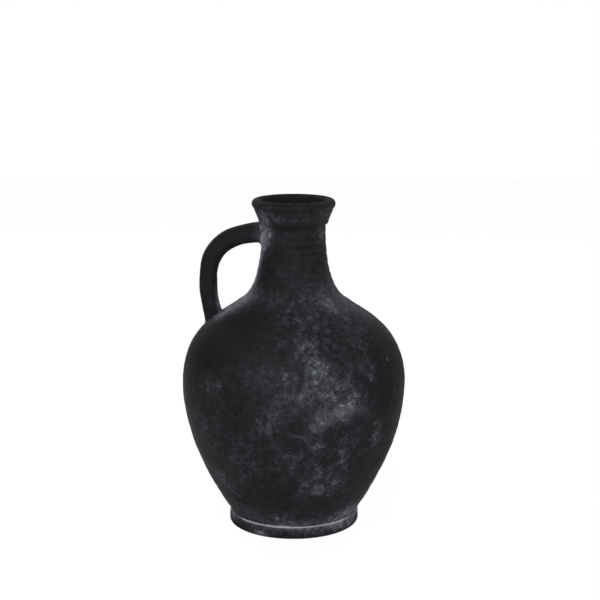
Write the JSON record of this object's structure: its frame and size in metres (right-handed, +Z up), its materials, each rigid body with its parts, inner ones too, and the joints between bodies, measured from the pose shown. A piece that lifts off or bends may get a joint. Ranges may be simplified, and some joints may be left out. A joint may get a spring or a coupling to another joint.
{
  "type": "jug",
  "caption": "Round-bellied terracotta jug in a matt charcoal finish, with a slender neck, a flared collar, a pulled side handle and a low foot ring.",
  "frame": {"origin": "middle of the foot ring's resting face, on the jug's upright axis", "axes": "+Z up along the jug's axis to the mouth; the handle points along -X"},
  "size_m": [0.2244, 0.2244, 0.33],
  "materials": {
    "charcoal_body": "matt charcoal slip over terracotta, scumbled with a thin blue-grey wash",
    "charcoal_neck": "matt charcoal slip over terracotta, nearly plain, with a worn lip",
    "charcoal_handle": "matt charcoal slip over terracotta, smoothed by hand",
    "worn_foot": "matt charcoal slip over terracotta, rubbed pale along its upper edge",
    "smeared_clay": "soft clay smeared by thumb, under charcoal slip with the pale wash caught in it"
  },
  "bodies": {
    "root": {"foot_ring": "worn_foot", "belly": "charcoal_body", "shoulder": "charcoal_body", "neck": "charcoal_neck", "mouth_collar": "charcoal_neck", "handle": "charcoal_handle", "upper_handle_clay": "smeared_clay", "lower_handle_clay": "smeared_clay"}
  },
  "joints": []
}
